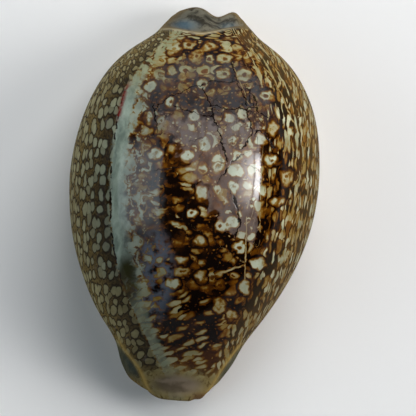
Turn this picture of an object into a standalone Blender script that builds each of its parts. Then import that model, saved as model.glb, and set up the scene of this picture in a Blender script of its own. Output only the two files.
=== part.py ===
"""Cowrie shell, one hollow piece resting on its flat base.

Metres, +Z up. The shell lies as it would on a table: base on z = 0, domed back up. Its long axis is Y,
with the broad back (posterior) end at +Y and the narrow front (anterior) end at -Y. The outer lip is on
the -X side and the inner, columellar lip on the +X side. The origin is in the plane of the base, under
the middle of the shell's box.

The shell is a wall of varying thickness whose cross-section is a C, open along the slit in the base.
The C is lofted along Y. Its two ends are the rims of the two canals, and both rims and lips are rounded.
"""

import math

import bpy
import numpy as np

# Driving dimensions
LENGTH = 0.075
NODE_NAME = "cowrie_shell"

# Half-widths seen from above, at stations along Y, both as fractions of LENGTH
OUTER_LIP_SIDE = [
    (-0.50, 0.100), (-0.47, 0.127), (-0.44, 0.149), (-0.40, 0.1685), (-0.36, 0.181), (-0.30, 0.219),
    (-0.20, 0.2706), (-0.10, 0.3025), (0.00, 0.3168), (0.06, 0.3186), (0.12, 0.3130), (0.20, 0.2959),
    (0.30, 0.2550), (0.36, 0.2112), (0.40, 0.1640), (0.43, 0.1225), (0.46, 0.0995), (0.50, 0.0765),
]
INNER_LIP_SIDE = [
    (-0.50, 0.056), (-0.47, 0.072), (-0.44, 0.092), (-0.40, 0.1186), (-0.36, 0.1385), (-0.30, 0.178),
    (-0.20, 0.2401), (-0.10, 0.2834), (0.00, 0.3072), (0.07, 0.3127), (0.14, 0.3104), (0.20, 0.3025),
    (0.30, 0.2681), (0.36, 0.2275), (0.40, 0.1840), (0.43, 0.1430), (0.46, 0.1170), (0.50, 0.0935),
]
# Height of the back along its crest
BACK_HEIGHT = [
    (-0.50, 0.108), (-0.46, 0.126), (-0.42, 0.170), (-0.36, 0.252), (-0.28, 0.345), (-0.20, 0.414),
    (-0.10, 0.472), (0.00, 0.497), (0.07, 0.500), (0.14, 0.492), (0.22, 0.460), (0.30, 0.401),
    (0.36, 0.332), (0.40, 0.266), (0.43, 0.203), (0.45, 0.168), (0.47, 0.149), (0.50, 0.140),
]
# Centre line and half-width of the slit in the base
SLIT_CENTRE = [
    (-0.50, -0.012), (-0.40, 0.001), (-0.20, 0.002), (0.00, 0.002),
    (0.20, 0.003), (0.32, 0.010), (0.42, 0.021), (0.50, 0.027),
]
SLIT_HALF_WIDTH = [
    (-0.50, 0.025), (-0.42, 0.036), (-0.20, 0.036), (0.00, 0.035),
    (0.20, 0.0345), (0.35, 0.033), (0.45, 0.029), (0.50, 0.024),
]
# The rims of the two canals seen from above: how far each stands back from the end plane, against X
BACK_RIM = [
    (-0.075, 0.0145), (-0.045, 0.0045), (-0.020, 0.0000), (0.006, 0.0080),
    (0.032, 0.0215), (0.055, 0.0140), (0.072, 0.0070), (0.095, 0.0150),
]
FRONT_RIM = [
    (-0.095, 0.0190), (-0.069, 0.0050), (-0.042, 0.0010), (-0.017, 0.0000),
    (0.016, 0.0010), (0.0265, 0.0050), (0.040, 0.0060), (0.056, 0.0160),
]
RIM_BLEND = 0.06
CORNER_RADIUS = 0.0022

# Base: level of the widest line above it, how far the ends lift, and the flat land it rests on
WIDEST_LEVEL = 0.29
BASE_SINK = 0.0007
END_LIFT = 0.030
LIFT_START = 0.34
BACK_FULLNESS = 0.020
BASE_FULLNESS = 0.094
INSIDE_FULLNESS = 0.035

# Wall
BACK_WALL = 0.0019
SIDE_WALL = 0.0034
BASE_WALL = 0.0050
END_WALL = 0.0021
RIM_ROUNDING = 0.0012

# Teeth on both lips
TEETH = 24
TEETH_FROM = -0.43
TEETH_TO = 0.40
TOOTH_HEIGHT = 0.00035
TOOTH_RUN = 0.0030

# Sections: rings in each rounded rim and in each canal, and points from lip to lip
RIM_RINGS = 3
CANAL_RINGS = 4
LIP_POINTS = 4
WALL_POINTS = 28


def spline(knots):
    """A cubic through the knots with smooth curvature; it is straight at both ends."""
    x = np.array([k[0] for k in knots])
    y = np.array([k[1] for k in knots])
    h = np.diff(x)
    count = len(x)
    system = np.eye(count)
    bend = np.zeros(count)
    for i in range(1, count - 1):
        system[i, i - 1] = h[i - 1] / 6
        system[i, i] = (h[i - 1] + h[i]) / 3
        system[i, i + 1] = h[i] / 6
        bend[i] = (y[i + 1] - y[i]) / h[i] - (y[i] - y[i - 1]) / h[i - 1]
    curve = np.linalg.solve(system, bend)

    def at(v):
        v = np.clip(np.asarray(v, float), x[0], x[-1])
        i = np.clip(np.searchsorted(x, v) - 1, 0, count - 2)
        a = (x[i + 1] - v) / h[i]
        b = 1 - a
        bow = ((a ** 3 - a) * curve[i] + (b ** 3 - b) * curve[i + 1]) * h[i] ** 2 / 6
        return a * y[i] + b * y[i + 1] + bow

    return at


def smoothstep(low, high, v):
    t = np.clip((np.asarray(v, float) - low) / (high - low), 0, 1)
    return t * t * (3 - 2 * t)


outer_side = spline(OUTER_LIP_SIDE)
inner_side = spline(INNER_LIP_SIDE)
back_height = spline(BACK_HEIGHT)
slit_centre = spline(SLIT_CENTRE)
slit_half_width = spline(SLIT_HALF_WIDTH)
back_rim = spline(BACK_RIM)
front_rim = spline(FRONT_RIM)


def slope(curve, v):
    """Slope of a half-width or height at station v, both being fractions of LENGTH."""
    step = 0.004
    return float(curve(v + step) - curve(v - step)) / (2 * step)


def stretch(curve, v):
    """How much wider than itself a sloping wall is, measured square to Y."""
    return math.sqrt(1 + min(abs(slope(curve, v)), 2.2) ** 2)


def tooth_wave(v, side):
    """1 on a tooth and 0 in the gap beside it; side -1 is the outer lip, +1 the inner one."""
    starts = float(smoothstep(TEETH_FROM - 0.01, TEETH_FROM + 0.01, v))
    stops = float(smoothstep(TEETH_TO - 0.01, TEETH_TO + 0.01, v))
    turn = (v - TEETH_FROM) / (TEETH_TO - TEETH_FROM) * TEETH
    return (starts - stops) * (0.5 - 0.5 * side * math.cos(2 * math.pi * turn))


def c_curve(left, right, top, bottom, widest, fullness, lips):
    """Dense points of a C from the outer lip over the back to the inner lip, as (x, z) rows.

    It is an ellipse swollen between its four poles: fullness is the swelling above and below the widest line.
    """
    middle = (right - left) / 2
    half = (right + left) / 2
    angle = np.linspace(1.5 * math.pi, -0.5 * math.pi, 1441)
    c = np.cos(angle)
    s = np.sin(angle)
    swell = 1 + np.where(s > 0, fullness[0], fullness[1]) * np.sin(2 * angle) ** 2
    x = middle + half * c * swell
    z = widest + np.where(s > 0, top - widest, widest - bottom) * s * swell
    first = int(np.argmax(x < lips[0]))
    last = len(x) - int(np.argmax(x[::-1] > lips[1]))
    start = [lips[0], np.interp(lips[0], [x[first], x[first - 1]], [z[first], z[first - 1]])]
    end = [lips[1], np.interp(lips[1], [x[last], x[last - 1]], [z[last], z[last - 1]])]
    return np.vstack([start, np.column_stack([x, z])[first:last], end])


def resample(points, distances):
    """Points at these shares of the curve's length."""
    step = np.hypot(*np.diff(points, axis=0).T)
    along = np.concatenate([[0], np.cumsum(step)]) / step.sum()
    return np.column_stack([np.interp(distances, along, column) for column in points.T])


def section(v, rounding):
    """The C of the wall at station v: outer and inner rows of (x, z), and each row's distance from a lip.

    The rows meet at both lips. rounding is 1 in the body of the shell and falls to 0 at the edge of a rim.
    """
    left = float(outer_side(v)) * LENGTH
    right = float(inner_side(v)) * LENGTH
    top = float(back_height(v)) * LENGTH
    lift = END_LIFT * LENGTH * float(smoothstep(LIFT_START, 0.5, abs(v)))
    widest = WIDEST_LEVEL * top + 0.6 * lift
    ends = float(smoothstep(0.36, 0.47, abs(v)))
    bottom = lift - BASE_SINK * (1 - ends)
    slit = float(slit_centre(v)) * LENGTH
    gap = float(slit_half_width(v)) * LENGTH
    lip_left = slit - gap + TOOTH_HEIGHT * tooth_wave(v, -1)
    lip_right = slit + gap - TOOTH_HEIGHT * tooth_wave(v, 1)

    back_wall = (BACK_WALL + (END_WALL - BACK_WALL) * ends) * stretch(back_height, v)
    left_wall = (SIDE_WALL + (END_WALL - SIDE_WALL) * ends) * stretch(outer_side, v)
    right_wall = (SIDE_WALL + (END_WALL - SIDE_WALL) * ends) * stretch(inner_side, v)
    floor_wall = BASE_WALL + (END_WALL - BASE_WALL) * ends

    lips = (lip_left, lip_right)
    floor = lift + floor_wall
    outer = c_curve(left, right, top, bottom, widest, (BACK_FULLNESS, BASE_FULLNESS), lips)
    inner = c_curve(
        left - left_wall, right - right_wall, top - back_wall, floor,
        max(widest, floor + 0.25 * (top - back_wall - floor)), (INSIDE_FULLNESS, INSIDE_FULLNESS), lips,
    )
    cap = floor_wall / 2
    run = np.hypot(*np.diff(outer, axis=0).T).sum()
    lip = cap * (1 - np.cos(np.linspace(0, math.pi / 2, LIP_POINTS + 1))) / run
    wall = np.linspace(lip[-1], 1 - lip[-1], WALL_POINTS + 1)
    shares = np.concatenate([lip, wall[1:-1], 1 - lip[::-1]])
    full = np.concatenate([
        np.sin(np.linspace(0, math.pi / 2, LIP_POINTS + 1)), np.ones(WALL_POINTS - 1),
        np.sin(np.linspace(math.pi / 2, 0, LIP_POINTS + 1)),
    ])
    outer = resample(outer, shares)
    inner = resample(inner, shares)
    outer[:, 1] = np.maximum(outer[:, 1], lift if ends > 0 else 0)
    across = np.minimum(np.abs(outer[:, 0] - lip_left), np.abs(outer[:, 0] - lip_right))
    groove = np.where(outer[:, 0] < slit, 1 - tooth_wave(v, -1), 1 - tooth_wave(v, 1))
    in_teeth = TEETH_FROM < v < TEETH_TO
    fade = (1 - smoothstep(0, TOOTH_RUN, across)) * (outer[:, 1] < widest)
    outer[:, 1] += TOOTH_HEIGHT * groove * fade * in_teeth
    middle = (outer + inner) / 2
    half = (outer - inner) / 2 * (full * rounding)[:, None]
    from_lip = np.minimum(shares, 1 - shares) * run
    return middle + half, middle - half, from_lip


def stations():
    """(station, rounding) of every ring from the front rim to the back one."""
    teeth = [TEETH_FROM + (TEETH_TO - TEETH_FROM) * i / (2 * TEETH) for i in range(2 * TEETH + 1)]
    rim = RIM_ROUNDING / LENGTH
    found = []
    for i in range(RIM_RINGS):
        turn = math.pi / 2 * i / RIM_RINGS
        found.append((-0.5 + rim * (1 - math.cos(turn)), math.sin(turn)))
    for i in range(CANAL_RINGS):
        found.append((-0.5 + rim + (TEETH_FROM + 0.5 - rim) * i / CANAL_RINGS, 1))
    found += [(v, 1) for v in teeth]
    for i in range(1, CANAL_RINGS + 1):
        found.append((TEETH_TO + (0.5 - rim - TEETH_TO) * i / CANAL_RINGS, 1))
    for i in range(1, RIM_RINGS + 1):
        turn = math.pi / 2 * i / RIM_RINGS
        found.append((0.5 - rim * (1 - math.sin(turn)), math.cos(turn) if i < RIM_RINGS else 0))
    return found


def along(v, x, from_lip):
    """The Y of a point at station v, which gives the rims their lobes and rounds the lips off into them."""
    back = float(smoothstep(0.5 - RIM_BLEND, 0.5, v))
    front = float(smoothstep(0.5 - RIM_BLEND, 0.5, -v))
    share = x / LENGTH
    lobes = -back * np.maximum(back_rim(share), 0) + front * np.maximum(front_rim(share), 0)
    short = np.maximum(CORNER_RADIUS - from_lip, 0)
    corner = CORNER_RADIUS - np.sqrt(CORNER_RADIUS ** 2 - short ** 2)
    return LENGTH * (v + lobes) + (front - back) * corner


def build_shell():
    rings = stations()
    verts = []
    outer_ids = []
    inner_ids = []
    for v, rounding in rings:
        outer, inner, from_lip = section(v, rounding)
        first = len(verts)
        for (x, z), y in zip(outer, along(v, outer[:, 0], from_lip)):
            verts.append((x, y, z))
        ids = list(range(first, len(verts)))
        outer_ids.append(ids)
        if rounding == 0:
            inner_ids.append(ids)
            continue
        first = len(verts)
        for (x, z), y in zip(inner[1:-1], along(v, inner[:, 0], from_lip)[1:-1]):
            verts.append((x, y, z))
        inner_ids.append([ids[0]] + list(range(first, len(verts))) + [ids[-1]])
    faces = []
    for k in range(len(rings) - 1):
        for j in range(len(outer_ids[k]) - 1):
            faces.append((outer_ids[k][j], outer_ids[k][j + 1], outer_ids[k + 1][j + 1], outer_ids[k + 1][j]))
            faces.append((inner_ids[k][j], inner_ids[k + 1][j], inner_ids[k + 1][j + 1], inner_ids[k][j + 1]))
    across = [vert[0] for vert in verts]
    middle = (min(across) + max(across)) / 2
    mesh = bpy.data.meshes.new(NODE_NAME)
    mesh.from_pydata([(x - middle, y, z) for x, y, z in verts], [], faces)
    mesh.update()
    return mesh


for old in list(bpy.data.objects):
    bpy.data.objects.remove(old, do_unlink=True)

collection = bpy.data.collections.new("cowrie_shell")
bpy.context.scene.collection.children.link(collection)

finish = bpy.data.materials.new("polished_shell")
finish.use_nodes = True
surface = finish.node_tree.nodes["Principled BSDF"]
surface.inputs["Base Color"].default_value = (0.13, 0.09, 0.045, 1)
surface.inputs["Roughness"].default_value = 0.18
surface.inputs["Metallic"].default_value = 0.0
finish.diffuse_color = (0.13, 0.09, 0.045, 1)

shell = bpy.data.objects.new(NODE_NAME, build_shell())
shell.data.materials.append(finish)
collection.objects.link(shell)
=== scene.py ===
# %% [markdown]
# # A cowrie shell
#
# A cowrie is a sea snail's shell, grown as one piece. The animal wraps its mantle over the outside and
# lays down clear enamel, layer on layer, so the shell comes off the beach already polished. What looks
# like print is colour buried in those layers.
#
# The lesson builds the shell's wall as one closed mesh, gives each point of it a place on the skin, and
# then grows the markings from that place with procedural textures.

import math
from functools import partial

import bpy
import numpy as np
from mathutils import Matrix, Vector


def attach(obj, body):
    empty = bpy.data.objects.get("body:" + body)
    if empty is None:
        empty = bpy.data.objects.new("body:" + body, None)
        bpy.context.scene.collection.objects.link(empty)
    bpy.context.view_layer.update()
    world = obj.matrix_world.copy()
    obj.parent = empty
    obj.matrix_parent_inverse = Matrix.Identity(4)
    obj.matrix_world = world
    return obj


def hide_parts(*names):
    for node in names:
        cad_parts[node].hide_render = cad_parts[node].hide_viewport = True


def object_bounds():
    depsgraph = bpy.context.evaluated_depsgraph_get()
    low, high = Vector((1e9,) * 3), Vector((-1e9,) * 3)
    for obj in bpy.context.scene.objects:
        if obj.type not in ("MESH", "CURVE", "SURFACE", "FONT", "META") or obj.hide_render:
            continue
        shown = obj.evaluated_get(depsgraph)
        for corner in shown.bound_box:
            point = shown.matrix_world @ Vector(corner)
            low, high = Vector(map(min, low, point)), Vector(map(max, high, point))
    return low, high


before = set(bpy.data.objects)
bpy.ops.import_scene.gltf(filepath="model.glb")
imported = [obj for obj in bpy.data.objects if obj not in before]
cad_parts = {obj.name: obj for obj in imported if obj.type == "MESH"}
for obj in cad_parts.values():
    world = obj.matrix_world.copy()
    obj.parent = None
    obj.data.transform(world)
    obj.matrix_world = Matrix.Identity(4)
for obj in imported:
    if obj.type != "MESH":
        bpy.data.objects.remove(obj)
cad_low, cad_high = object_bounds()
LENGTH = cad_high.y - cad_low.y
MM = 0.001
print("the solid shell measures", [round((b - a) / MM, 1) for a, b in zip(cad_low, cad_high)], "mm")

# %% [markdown]
# ## Curves that steer the shape
#
# A shell has no straight lines, but a few smooth curves say nearly all of it: how wide it is on each side
# of the slit, how high the back stands, and where the slit runs. Each is a list of a few knots, as shares
# of the length, with a cubic spline through them. The widths and the rims come from a measured outline,
# thinned to these knots and changed at the ends. The heights and the slit are estimates. A cubic spline
# keeps its curvature smooth, and a glossy surface needs that, because a reflection shows every kink.

# %% A smooth curve through knots


def spline(knots):
    """A cubic through the knots with smooth curvature; it is straight at both ends."""
    x = np.array([k[0] for k in knots])
    y = np.array([k[1] for k in knots])
    h = np.diff(x)
    count = len(x)
    system = np.eye(count)
    bend = np.zeros(count)
    for i in range(1, count - 1):
        system[i, i - 1] = h[i - 1] / 6
        system[i, i] = (h[i - 1] + h[i]) / 3
        system[i, i + 1] = h[i] / 6
        bend[i] = (y[i + 1] - y[i]) / h[i] - (y[i] - y[i - 1]) / h[i - 1]
    curve = np.linalg.solve(system, bend)

    def at(v):
        v = np.clip(np.asarray(v, float), x[0], x[-1])
        i = np.clip(np.searchsorted(x, v) - 1, 0, count - 2)
        a = (x[i + 1] - v) / h[i]
        b = 1 - a
        bow = ((a ** 3 - a) * curve[i] + (b ** 3 - b) * curve[i + 1]) * h[i] ** 2 / 6
        return a * y[i] + b * y[i + 1] + bow

    return at


def smoothstep(low, high, v):
    """0 below low, 1 above high, and an even ease between."""
    t = np.clip((np.asarray(v, float) - low) / (high - low), 0, 1)
    return t * t * (3 - 2 * t)


# %% Widths, height and slit
outer_side = spline([
    (-0.50, 0.100), (-0.47, 0.127), (-0.44, 0.149), (-0.40, 0.1685), (-0.36, 0.181), (-0.30, 0.219),
    (-0.20, 0.2706), (-0.10, 0.3025), (0.00, 0.3168), (0.06, 0.3186), (0.12, 0.3130), (0.20, 0.2959),
    (0.30, 0.2550), (0.36, 0.2112), (0.40, 0.1640), (0.43, 0.1225), (0.46, 0.0995), (0.50, 0.0765),
])
inner_side = spline([
    (-0.50, 0.056), (-0.47, 0.072), (-0.44, 0.092), (-0.40, 0.1186), (-0.36, 0.1385), (-0.30, 0.178),
    (-0.20, 0.2401), (-0.10, 0.2834), (0.00, 0.3072), (0.07, 0.3127), (0.14, 0.3104), (0.20, 0.3025),
    (0.30, 0.2681), (0.36, 0.2275), (0.40, 0.1840), (0.43, 0.1430), (0.46, 0.1170), (0.50, 0.0935),
])
back_height = spline([
    (-0.50, 0.108), (-0.46, 0.126), (-0.42, 0.170), (-0.36, 0.252), (-0.28, 0.345), (-0.20, 0.414),
    (-0.10, 0.472), (0.00, 0.497), (0.07, 0.500), (0.14, 0.492), (0.22, 0.460), (0.30, 0.401),
    (0.36, 0.332), (0.40, 0.266), (0.43, 0.203), (0.45, 0.168), (0.47, 0.149), (0.50, 0.140),
])
slit_centre = spline([
    (-0.50, -0.012), (-0.40, 0.001), (-0.20, 0.002), (0.00, 0.002),
    (0.20, 0.003), (0.32, 0.010), (0.42, 0.021), (0.50, 0.027),
])
slit_half_width = spline([
    (-0.50, 0.025), (-0.42, 0.036), (-0.20, 0.036), (0.00, 0.035),
    (0.20, 0.0345), (0.35, 0.033), (0.45, 0.029), (0.50, 0.024),
])
back_rim = spline([
    (-0.075, 0.0145), (-0.045, 0.0045), (-0.020, 0.0000), (0.006, 0.0080),
    (0.032, 0.0215), (0.055, 0.0140), (0.072, 0.0070), (0.095, 0.0150),
])
front_rim = spline([
    (-0.095, 0.0190), (-0.069, 0.0050), (-0.042, 0.0010), (-0.017, 0.0000),
    (0.016, 0.0010), (0.0265, 0.0050), (0.040, 0.0060), (0.056, 0.0160),
])
print("widest", round(float(outer_side(0.06) + inner_side(0.06)) * LENGTH / MM, 1), "mm across")

# %% [markdown]
# ## The cross-section
#
# Cut across, a cowrie's wall is a C lying on its open side: thin over the back, thicker at the margins and
# thickest at the two lips that face each other across the slit. Each section starts as a rounded outline
# that is fuller than an ellipse, flattened underneath where the shell rests. The inside is the same idea a
# wall's thickness in. Where the shell narrows, a wall cut square to the length looks thicker than it is,
# so the thickness is stretched by the slope.

# %% Wall, base and rim sizes
WIDEST_LEVEL = 0.29
BASE_SINK = 0.7 * MM
END_LIFT = 0.030 * LENGTH
LIFT_START = 0.34
ENDS_START = 0.36
ENDS_FULL = 0.47
STEEPEST = 2.2
BACK_FULLNESS = 0.020
BASE_FULLNESS = 0.094
INSIDE_FULLNESS = 0.035
BACK_WALL = 1.9 * MM
SIDE_WALL = 3.4 * MM
BASE_WALL = 5.0 * MM
END_WALL = 2.1 * MM
RIM_ROUNDING = 1.2 * MM
RIM_BLEND = 0.06
CORNER_RADIUS = 2.2 * MM
TEETH = 24
TEETH_FROM = -0.43
TEETH_TO = 0.40
TOOTH_HEIGHT = 0.35 * MM
EDGE_SOFTNESS = 0.06 * MM

# %% Points along and around the wall
RIM_ROWS = 8
ROWS = 304
LIP_POINTS = 9
WALL_POINTS = 200
POINTS = WALL_POINTS + 2 * LIP_POINTS + 1
AROUND = 2 * POINTS - 2
DENSE_STEPS = 1440
print("a section has", AROUND, "points all round")

# %% One C of the wall


def slope(curve, v):
    """Slope of a half-width or height at station v, both as shares of the length."""
    step = 0.004
    return float(curve(v + step) - curve(v - step)) / (2 * step)


def stretch(curve, v):
    """How much wider than itself a sloping wall is, measured square to the length."""
    return math.sqrt(1 + min(abs(slope(curve, v)), STEEPEST) ** 2)


def c_curve(left, right, top, bottom, widest, fullness, lips):
    """Dense points of a C from the outer lip over the back to the inner lip, and where its crest is."""
    middle = (right - left) / 2
    half = (right + left) / 2
    angle = np.linspace(1.5 * math.pi, -0.5 * math.pi, DENSE_STEPS + 1)
    c = np.cos(angle)
    s = np.sin(angle)
    swell = 1 + np.where(s > 0, fullness[0], fullness[1]) * np.sin(2 * angle) ** 2
    x = middle + half * c * swell
    z = widest + np.where(s > 0, top - widest, widest - bottom) * s * swell
    first = int(np.argmax(x < lips[0]))
    last = len(x) - int(np.argmax(x[::-1] > lips[1]))
    start = [lips[0], np.interp(lips[0], [x[first], x[first - 1]], [z[first], z[first - 1]])]
    end = [lips[1], np.interp(lips[1], [x[last], x[last - 1]], [z[last], z[last - 1]])]
    crest = DENSE_STEPS // 2 - first + 1
    return np.vstack([start, np.column_stack([x, z])[first:last], end]), crest


# %% Points spread along a curve


def resample(points, shares):
    """Points at these shares of the curve's length, and how far along it each dense point lies."""
    step = np.hypot(*np.diff(points, axis=0).T)
    along = np.concatenate([[0], np.cumsum(step)])
    return np.column_stack([np.interp(shares * along[-1], along, column) for column in points.T]), along


# %% The wall at one station
quarter = np.linspace(0, math.pi / 2, LIP_POINTS + 1)
lip_fullness = np.concatenate([np.sin(quarter), np.ones(WALL_POINTS - 1), np.sin(quarter)[::-1]])


def section(v, rounding):
    """The wall at station v: outer and inner (x, z), and each point's way from a lip and from the crest."""
    left = float(outer_side(v)) * LENGTH
    right = float(inner_side(v)) * LENGTH
    top = float(back_height(v)) * LENGTH
    lift = END_LIFT * float(smoothstep(LIFT_START, 0.5, abs(v)))
    widest = WIDEST_LEVEL * top + 0.6 * lift
    ends = float(smoothstep(ENDS_START, ENDS_FULL, abs(v)))
    lips = (
        float(slit_centre(v) - slit_half_width(v)) * LENGTH + TOOTH_HEIGHT,
        float(slit_centre(v) + slit_half_width(v)) * LENGTH - TOOTH_HEIGHT,
    )
    back_wall = (BACK_WALL + (END_WALL - BACK_WALL) * ends) * stretch(back_height, v)
    side_wall = SIDE_WALL + (END_WALL - SIDE_WALL) * ends
    floor_wall = BASE_WALL + (END_WALL - BASE_WALL) * ends
    floor = lift + floor_wall
    bottom = lift - BASE_SINK * (1 - ends)
    outer, crest = c_curve(left, right, top, bottom, widest, (BACK_FULLNESS, BASE_FULLNESS), lips)
    room_left = left - side_wall * stretch(outer_side, v)
    room_right = right - side_wall * stretch(inner_side, v)
    roof = top - back_wall
    room_widest = max(widest, floor + 0.25 * (roof - floor))
    fullness = (INSIDE_FULLNESS, INSIDE_FULLNESS)
    inner, _ = c_curve(room_left, room_right, roof, floor, room_widest, fullness, lips)
    run = np.hypot(*np.diff(outer, axis=0).T).sum()
    lip = floor_wall / 2 * (1 - np.cos(quarter)) / run
    wall = np.linspace(lip[-1], 1 - lip[-1], WALL_POINTS + 1)
    shares = np.concatenate([lip, wall[1:-1], 1 - lip[::-1]])
    outer, along = resample(outer, shares)
    inner, _ = resample(inner, shares)
    rest = outer[:, 1] - lift * (1 if ends > 0 else 0)
    flat = (rest + np.sqrt(rest ** 2 + EDGE_SOFTNESS ** 2)) / 2 + outer[:, 1] - rest
    outer[:, 1] = np.where(outer[:, 1] < widest, flat, outer[:, 1])
    middle = (outer + inner) / 2
    half = (outer - inner) / 2 * (lip_fullness * rounding)[:, None]
    return middle + half, middle - half, shares * run, shares * run - along[crest]


# %% From a section to its place on the shell


def placed(v, wall, from_lip):
    """The wall's points at station v, with lobes at the rims and the lips rounded off into them."""
    back = float(smoothstep(0.5 - RIM_BLEND, 0.5, v))
    front = float(smoothstep(0.5 - RIM_BLEND, 0.5, -v))
    share = wall[:, 0] / LENGTH
    lobes = -back * np.maximum(back_rim(share), 0) + front * np.maximum(front_rim(share), 0)
    short = np.maximum(CORNER_RADIUS - from_lip, 0)
    corner = CORNER_RADIUS - np.sqrt(CORNER_RADIUS ** 2 - short ** 2)
    return np.column_stack([wall[:, 0], LENGTH * (v + lobes) + (front - back) * corner, wall[:, 1]])


# %% All the sections, front to back
rim = RIM_ROUNDING / LENGTH
turns = math.pi / 2 * np.arange(RIM_ROWS) / RIM_ROWS
front_rows = [(-0.5 + rim * (1 - math.cos(t)), math.sin(t)) for t in turns]
body_rows = [(v, 1.0) for v in np.linspace(-0.5 + rim, 0.5 - rim, ROWS + 1)]
back_rows = [(-v, r) for v, r in reversed(front_rows)]
stations = front_rows + body_rows + back_rows

grid = np.zeros((len(stations), AROUND, 3))
lip_distance = np.zeros((len(stations), POINTS))
crest_distance = np.zeros((len(stations), POINTS))
for row, (v, rounding) in enumerate(stations):
    outer, inner, from_start, from_crest = section(v, rounding)
    from_lip = np.minimum(from_start, from_start[-1] - from_start)
    lip_distance[row] = from_lip
    crest_distance[row] = from_crest
    grid[row, :POINTS] = placed(v, outer, from_lip)
    grid[row, POINTS:] = placed(v, inner[-2:0:-1], from_lip[-2:0:-1])
grid[..., 0] -= (grid[..., 0].min() + grid[..., 0].max()) / 2
print(grid.shape[0], "sections of", grid.shape[1], "points")

# %% [markdown]
# ## Teeth, ridges and grooves
#
# The lips of a cowrie carry a row of teeth, ridges of enamel that run out of the slit and die away on the
# base. They could be separate bars, but on the shell they are one surface with it, so the wall's own points
# are pushed in between the teeth along their normals. The same push makes the small relief of the two
# ends: the raised edge where the back stops above the blue-grey canal, and the flutes on both sides of the
# front spout.

# %% Which way the surface faces


def unit_normals(points):
    """The outward direction at each point of the rows of closed sections."""
    around = np.roll(points, -1, axis=1) - np.roll(points, 1, axis=1)
    forward = np.gradient(points, axis=0)
    found = np.cross(around, forward)
    size = np.linalg.norm(found, axis=2, keepdims=True)
    return found / np.maximum(size, 1e-12)


normals = unit_normals(grid)
top_row = len(stations) // 2
if normals[top_row, POINTS // 2, 2] < 0:
    normals = -normals
station = np.array([v for v, _ in stations])[:, None]

# %% Teeth
tooth_turn = (station - TEETH_FROM) / (TEETH_TO - TEETH_FROM) * TEETH
tooth_turn = tooth_turn + 0.12 * np.sin(station * 37) + 0.08 * np.sin(station * 91 + 1)
in_teeth = smoothstep(TEETH_FROM - 0.015, TEETH_FROM + 0.01, station)
in_teeth = in_teeth - smoothstep(TEETH_TO - 0.01, TEETH_TO + 0.015, station)
GROOVE_DEPTH = 0.55 * MM
OUTER_RUN = 4.2 * MM
INNER_RUN = 3.2 * MM
comb = 0.5 * np.cos(2 * math.pi * tooth_turn)
ridge = np.zeros(grid.shape[:2])
reach = np.zeros(grid.shape[:2])
outer_half = slice(0, POINTS // 2)
inner_half = slice(POINTS // 2, POINTS)
for columns, wave, run in ((outer_half, 0.5 + comb, OUTER_RUN), (inner_half, 0.5 - comb, INNER_RUN)):
    ridge[:, columns] = wave
    reach[:, columns] = (1 - smoothstep(0.45 * run, run, lip_distance[:, columns])) * in_teeth
mirror_columns = AROUND - np.arange(POINTS, AROUND)
ridge[:, POINTS:] = ridge[:, mirror_columns]
reach[:, POINTS:] = (1 - smoothstep(1.5 * MM, 3.0 * MM, lip_distance[:, mirror_columns])) * in_teeth
push = -GROOVE_DEPTH * reach * (1 - ridge) ** 0.8
print(TEETH, "teeth to a lip, one every", round((TEETH_TO - TEETH_FROM) * LENGTH / TEETH / MM, 2), "mm")

# %% Relief of the two ends
BACK_EDGE_HEIGHT = 0.30 * MM
BACK_CANAL_DEPTH = 0.55 * MM
FRONT_EDGE_HEIGHT = 0.22 * MM


def bell(distance, width):
    """1 at no distance, falling away smoothly on both sides."""
    return np.exp(-(distance / width) ** 2)


outer_x = grid[:, :POINTS, 0] / LENGTH
outer_y = grid[:, :POINTS, 1] / LENGTH
faces_up = smoothstep(0.10, 0.50, normals[:, :POINTS, 2])
back_edge = spline([
    (-0.15, 0.432), (-0.11, 0.4385), (-0.06, 0.438), (0.003, 0.432),
    (0.05, 0.443), (0.105, 0.4515), (0.15, 0.445),
])
past_edge = outer_y - back_edge(outer_x)
edge_fade = faces_up * smoothstep(0.155, 0.11, np.abs(outer_x - 0.005))
push[:, :POINTS] += BACK_EDGE_HEIGHT * bell(past_edge, 0.0045) * edge_fade
push[:, :POINTS] -= BACK_CANAL_DEPTH * bell(past_edge - 0.011, 0.0075) * edge_fade
front_edge_left = spline([
    (-0.50, -0.045), (-0.486, -0.073), (-0.452, -0.100),
    (-0.413, -0.122), (-0.365, -0.163), (-0.32, -0.185),
])
front_edge_right = spline([
    (-0.49, 0.053), (-0.457, 0.072), (-0.417, 0.093), (-0.393, 0.108), (-0.36, 0.130), (-0.32, 0.158),
])
near_front = smoothstep(-0.335, -0.36, outer_y) * smoothstep(-0.492, -0.465, outer_y) * faces_up
past_left = front_edge_left(outer_y) - outer_x
past_right = outer_x - front_edge_right(outer_y)
for past, width, depth in ((past_left, 0.0085, 0.45 * MM), (past_right, 0.0075, 0.75 * MM)):
    push[:, :POINTS] += FRONT_EDGE_HEIGHT * bell(past, 0.005) * near_front
    push[:, :POINTS] -= depth * bell(past - 0.014, width) * near_front
grid = grid + normals * push[..., None]
print("the relief runs from", round(push.min() / MM, 2), "to", round(push.max() / MM, 2), "mm")

# %% [markdown]
# ## One closed mesh
#
# The outside needs fine points, because its markings are told apart by them and its gloss shows every
# facet. The inside of the dome is seen only as a dim glow through the slit, so its points are thinned out
# four to one, and the cells along the border take in the fine points they meet. That leaves the mesh
# closed, with no seam.

# %% Faces
THIN = 4
FINE_COLUMNS = 16
last_row = len(stations) - 1


def thinned(border, count):
    """From where to where the cells are thinned, with at least a border of fine ones at each end."""
    return border, border + THIN * ((count - 2 * border) // THIN)


thin_rows = thinned(RIM_ROWS + 4, last_row)
thin_columns = thinned(FINE_COLUMNS, POINTS - 1)
ids = {}
points = []


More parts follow.
